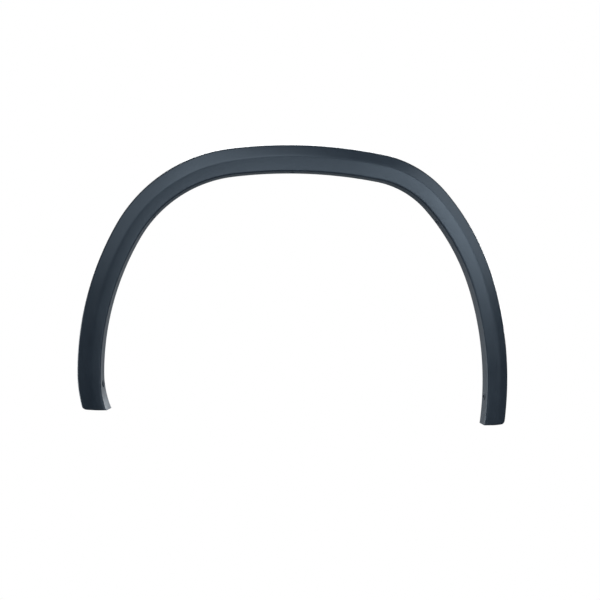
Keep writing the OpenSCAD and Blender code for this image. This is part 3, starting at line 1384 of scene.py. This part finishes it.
@dataclass(frozen=True)
class GrainedPlastic:
    """Dark blue-grey moulded plastic with a fine grain.

    Attributes:
        deep: colour in the grain's hollows.
        bright: colour on the grain's tops.
        sheen: colour of its highlights.
        gloss_low: lowest roughness.
        gloss_high: highest roughness.
        grain_size: size of the moulded grain, in metres.
        grain_depth: depth of the grain, in metres.
        bump: how strongly the grain turns the light.
        cell_blend: how much the grain's cells run into each other.
        pebble_stops: level of a pebble by distance from its middle.
        noise_stops: levels that stretch a noise to its whole range.
        fine: scale, as a multiple of the grain's, and detail of the noise between the pebbles.
        cloud: scale per metre and detail of the wide tone changes.
        flow: scale per metre and detail of the moulding's flow marks.
        height_shares: shares of pebble and fine noise in the relief.
        tone_shares: shares of pebble, cloud and flow in the colour.
        gloss_shares: shares of cloud, flow and fine noise in the roughness.
    """

    deep: tuple[float, float, float] = (0.008, 0.012, 0.018)
    bright: tuple[float, float, float] = (0.014, 0.020, 0.028)
    sheen: tuple[float, float, float] = (0.68, 0.84, 1.0)
    gloss_low: float = 0.29
    gloss_high: float = 0.37
    grain_size: float = 0.9 * MM
    grain_depth: float = 0.035 * MM
    bump: float = 0.55
    cell_blend: float = 0.6
    pebble_stops: tuple[Stop, ...] = ((0.15, 1.0), (0.75, 0.0))
    noise_stops: tuple[Stop, ...] = ((0.3, 0.0), (0.7, 1.0))
    fine: tuple[float, float] = (2.2, 3.0)
    cloud: tuple[float, float] = (9.0, 2.0)
    flow: tuple[float, float] = (42.0, 4.0)
    height_shares: tuple[float, ...] = (0.7, 0.3)
    tone_shares: tuple[float, ...] = (0.35, 0.4, 0.25)
    gloss_shares: tuple[float, ...] = (0.5, 0.3, 0.2)

    def build(self) -> bpy.types.Material:
        """Makes the material.

        Returns:
            The material.
        """
        material = bpy.data.materials.new("grained plastic")
        material.use_nodes = True
        tree = material.node_tree
        net = Net(tree)
        shader = tree.nodes["Principled BSDF"]
        place = net.add("ShaderNodeTexCoord", {}, {}).outputs["Object"]
        cells = net.add("ShaderNodeTexVoronoi", {"feature": "SMOOTH_F1"}, {
            "Vector": place, "Scale": 1.0 / self.grain_size, "Smoothness": self.cell_blend})
        fine = self._noise(net, place, self.fine[0] / self.grain_size, self.fine[1])
        cloud = self._noise(net, place, *self.cloud)
        flow = self._noise(net, place, *self.flow)
        pebble = net.ramp(Term(net, cells.outputs["Distance"]), self.pebble_stops)
        height = blended((pebble, fine), self.height_shares)
        tone = blended((pebble, cloud, flow), self.tone_shares).at_least(0.0).at_most(1.0)
        colour = net.add("ShaderNodeMix", {"data_type": "RGBA"}, {
            "Factor": tone, 6: (*self.deep, 1.0), 7: (*self.bright, 1.0)})
        net.feed(shader.inputs["Base Color"], colour.outputs[2])
        span = self.gloss_high - self.gloss_low
        rough = blended((cloud, flow, fine), self.gloss_shares) * span + self.gloss_low
        net.feed(shader.inputs["Roughness"], rough)
        bump = net.add("ShaderNodeBump", {}, {
            "Strength": self.bump, "Distance": self.grain_depth, "Height": height})
        net.feed(shader.inputs["Normal"], bump.outputs[0])
        shader.inputs["Specular Tint"].default_value = (*self.sheen, 1.0)
        return material

    def _noise(self, net: Net, place: bpy.types.NodeSocket, scale: float, detail: float) -> Term:
        """A soft noise from 0 to 1.

        Args:
            net: the material's net.
            place: the coordinates.
            scale: how fine it is, per metre.
            detail: how many finer layers it has.

        Returns:
            The noise, stretched to use its whole range.
        """
        node = net.add("ShaderNodeTexNoise", {}, {"Vector": place, "Scale": scale, "Detail": detail})
        return net.ramp(Term(net, node.outputs[0]), self.noise_stops)


@dataclass(frozen=True)
class StageWhite:
    """White paper: pure white to the camera, pale in a reflection, and lit as paper is otherwise.

    Attributes:
        colour: the paper's own colour.
        matt: the paper's roughness.
        surround: colour of the room.
        room_light: how much the room lights the object.
        mirrored: how bright paper and room are in a reflection.
    """

    colour: tuple[float, float, float] = (0.8, 0.8, 0.8)
    matt: float = 0.9
    surround: tuple[float, float, float] = (0.75, 0.88, 1.0)
    room_light: float = 0.12
    mirrored: float = 0.2

    def paper(self) -> bpy.types.Material:
        """Makes the material of the floor and the backdrop.

        Returns:
            The material.
        """
        material = bpy.data.materials.new("stage white")
        material.use_nodes = True
        tree = material.node_tree
        net = Net(tree)
        shader = tree.nodes["Principled BSDF"]
        shader.inputs["Base Color"].default_value = (*self.colour, 1.0)
        shader.inputs["Roughness"].default_value = self.matt
        shown = self._shown(net, shader.outputs[0], "ShaderNodeEmission")
        net.feed(tree.nodes["Material Output"].inputs["Surface"], shown)
        return material

    def room(self) -> bpy.types.World:
        """Makes the even surround.

        Returns:
            The world.
        """
        world = bpy.data.worlds.new("studio")
        world.use_nodes = True
        tree = world.node_tree
        net = Net(tree)
        light = tree.nodes["Background"]
        light.inputs["Color"].default_value = (*self.surround, 1.0)
        light.inputs["Strength"].default_value = self.room_light
        shown = self._shown(net, light.outputs[0], "ShaderNodeBackground")
        net.feed(tree.nodes["World Output"].inputs["Surface"], shown)
        return world

    def _shown(self, net: Net, lit: bpy.types.NodeSocket, kind: str) -> bpy.types.NodeSocket:
        """Chooses what a ray sees.

        Args:
            net: the tree.
            lit: what lights the object.
            kind: type of the node that shines.

        Returns:
            The shader for all rays.
        """
        path = net.add("ShaderNodeLightPath", {}, {})
        white = net.add(kind, {}, {"Color": (1.0, 1.0, 1.0, 1.0), "Strength": 1.0})
        pale = net.add(kind, {}, {"Color": (*self.surround, 1.0), "Strength": self.mirrored})
        glossy = Term(net, path.outputs["Is Glossy Ray"])
        indirect = glossy.at_least(Term(net, path.outputs["Is Transmission Ray"]))
        mirror = net.add("ShaderNodeMixShader", {}, {0: indirect, 1: lit, 2: pale.outputs[0]})
        seen = net.add("ShaderNodeMixShader", {}, {
            0: path.outputs["Is Camera Ray"], 1: mirror.outputs[0], 2: white.outputs[0]})
        return seen.outputs[0]


@dataclass
class ArchTrim:
    """The whole moulding, as one piece that stands for the node.

    Attributes:
        line: the inner edge.
        side: the panel below.
        profile: the section.
        sharp_angle: edges that turn by more than this stay sharp, in degrees.
    """

    line: ArchLine = ArchLine()
    side: BodySide = BodySide()
    profile: Profile = Profile()
    sharp_angle: float = 40.0

    def build(self, material: bpy.types.Material) -> bpy.types.Object:
        """Builds the shell and everything moulded to it, and puts it in the node's place.

        Args:
            material: its finish.

        Returns:
            The finished piece.
        """
        stations = Stations(self.line, self.side, self.profile)
        moulding = Shell(stations).build(material)
        LOG.info("shell: %d faces", len(moulding.data.polygons))
        fastenings = Fastenings(stations)
        gussets = Ribs(stations, RibKind.GUSSET).build(fastenings.gusset_places, material)
        walls = Ribs(stations, RibKind.TOWER_WALL).build(fastenings.wall_places, material)
        for part in (gussets, walls, fastenings.plates(material), fastenings.pegs(material),
                     fastenings.seats(material)):
            LOG.info("%s: %d faces", part.name, len(part.data.polygons))
            combine(moulding, part, Join.UNION)
        combine(moulding, fastenings.holes(material), Join.DIFFERENCE)
        smooth_by_angle(moulding.data, self.sharp_angle)
        moulding.data.materials.clear()
        moulding.data.materials.append(material)
        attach(moulding, "root")
        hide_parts(NODE)
        LOG.info("%s: %d faces", moulding.name, len(moulding.data.polygons))
        return moulding


@dataclass(frozen=True)
class Softbox:
    """A soft square lamp, placed by its direction from the middle of the arch.

    Attributes:
        name: its name.
        azimuth: direction seen from above, in degrees, 0 in front and positive to the rear.
        elevation: height of the direction, in degrees.
        distance: distance from the middle of the arch, in metres.
        size: its side, in metres.
        power: its power, in watts.
        AIM: the middle of the arch, where every lamp points.
    """

    AIM: ClassVar[Vector] = Vector((0.0, 0.0, -0.25))
    name: str
    azimuth: float
    elevation: float
    distance: float
    size: float
    power: float

    @property
    def place(self) -> Vector:
        """Where the lamp stands."""
        return self.AIM + self.distance * direction(self.azimuth, self.elevation)


@dataclass
class Studio:
    """The white stage, the lamps and the camera at the photograph's angle.

    Attributes:
        target: the point that the camera looks at.
        azimuth: direction of the camera, in degrees.
        distance: distance of the camera from its target.
        frame_width: width of the picture at the target.
        sensor: width of the camera's sensor, in millimetres.
        floor_level: height of the floor.
        floor_reach: how far the floor reaches to the sides and to the front.
        backdrop_depth: how far behind the arch the backdrop stands.
        backdrop_height: height of its upper edge.
        softboxes: the lamps.
    """

    target: tuple[float, float, float] = (0.0143, -0.0085, -0.2699)
    azimuth: float = -4.24
    distance: float = 2.3
    frame_width: float = 1.272
    sensor: float = 36.0
    floor_level: float = -1.4
    floor_reach: float = 8.0
    backdrop_depth: float = 4.5
    backdrop_height: float = 8.0
    softboxes: tuple[Softbox, ...] = (
        Softbox("front key", 0, -5, 2.6, 0.78, 8.1),
        Softbox("front fill", -45, 25, 2.6, 1.6, 13.6),
        Softbox("crown key", -15, 40, 1.5, 1.05, 8.9),
        Softbox("rear key", 30, 5, 1.5, 0.45, 5.1),
        Softbox("rear fill", 60, 25, 1.5, 1.05, 8.2),
        Softbox("rear leg light", 52, -8, 1.5, 0.5, 0.5),
        Softbox("side light", -110, -12, 1.5, 0.75, 11.5),
        Softbox("front lip light", 150, -5, 1.5, 0.75, 2.0),
        Softbox("front foot light", 132, 6, 1.5, 0.5, 12.0),
        Softbox("rear lip light", -160, 0, 1.5, 0.75, 1.2),
        Softbox("rear foot light", -143, -4, 1.5, 0.5, 2.0),
        Softbox("back light", 180, 45, 2.6, 1.8, 120.0),
    )

    def build(self) -> None:
        """Adds the stage, the lamps, the world and the camera."""
        white = StageWhite()
        paper = white.paper()
        side, level = self.floor_reach, self.floor_level
        back, top = self.backdrop_depth, self.backdrop_height
        for name, near, far in (("floor", (-side, level), (back, level)),
                                ("backdrop", (back, level), (back, top))):
            self._sheet(name, [(-side, *near), (side, *near), (side, *far), (-side, *far)], paper)
        bpy.context.scene.world = white.room()
        for softbox in self.softboxes:
            self._lamp(softbox)
        self._camera()

    @staticmethod
    def _sheet(name: str, corners: Sequence[tuple[float, float, float]],
               material: bpy.types.Material) -> None:
        """Adds one flat sheet of the stage.

        Args:
            name: its name.
            corners: its corners, in order.
            material: what it is made of.
        """
        mesh = bpy.data.meshes.new(name)
        mesh.from_pydata(corners, [], [tuple(range(len(corners)))])
        mesh.materials.append(material)
        new_piece(name, mesh)

    @staticmethod
    def _lamp(softbox: Softbox) -> None:
        """Adds a soft square lamp that points at the middle of the arch.

        Args:
            softbox: its place, size and power.
        """
        lamp = bpy.data.lights.new(softbox.name, "AREA")
        lamp.shape = "SQUARE"
        lamp.size = softbox.size
        lamp.energy = softbox.power
        aimed(softbox.name, lamp, softbox.place, softbox.AIM)

    def _camera(self) -> None:
        """Places the camera and makes it the scene's own."""
        data = bpy.data.cameras.new("camera")
        data.sensor_width = self.sensor
        data.lens = self.sensor * self.distance / self.frame_width
        data.dof.use_dof = False
        target = Vector(self.target)
        place = target + self.distance * direction(self.azimuth, 0.0)
        bpy.context.scene.camera = aimed("camera", data, place, target)


def main() -> None:
    """Builds the studio and the trim."""
    logging.basicConfig(level=logging.INFO, format="%(name)s: %(message)s")
    bpy.context.scene.view_settings.view_transform = "Standard"
    Studio().build()
    ArchTrim().build(GrainedPlastic().build())


if __name__ == "__main__":
    main()
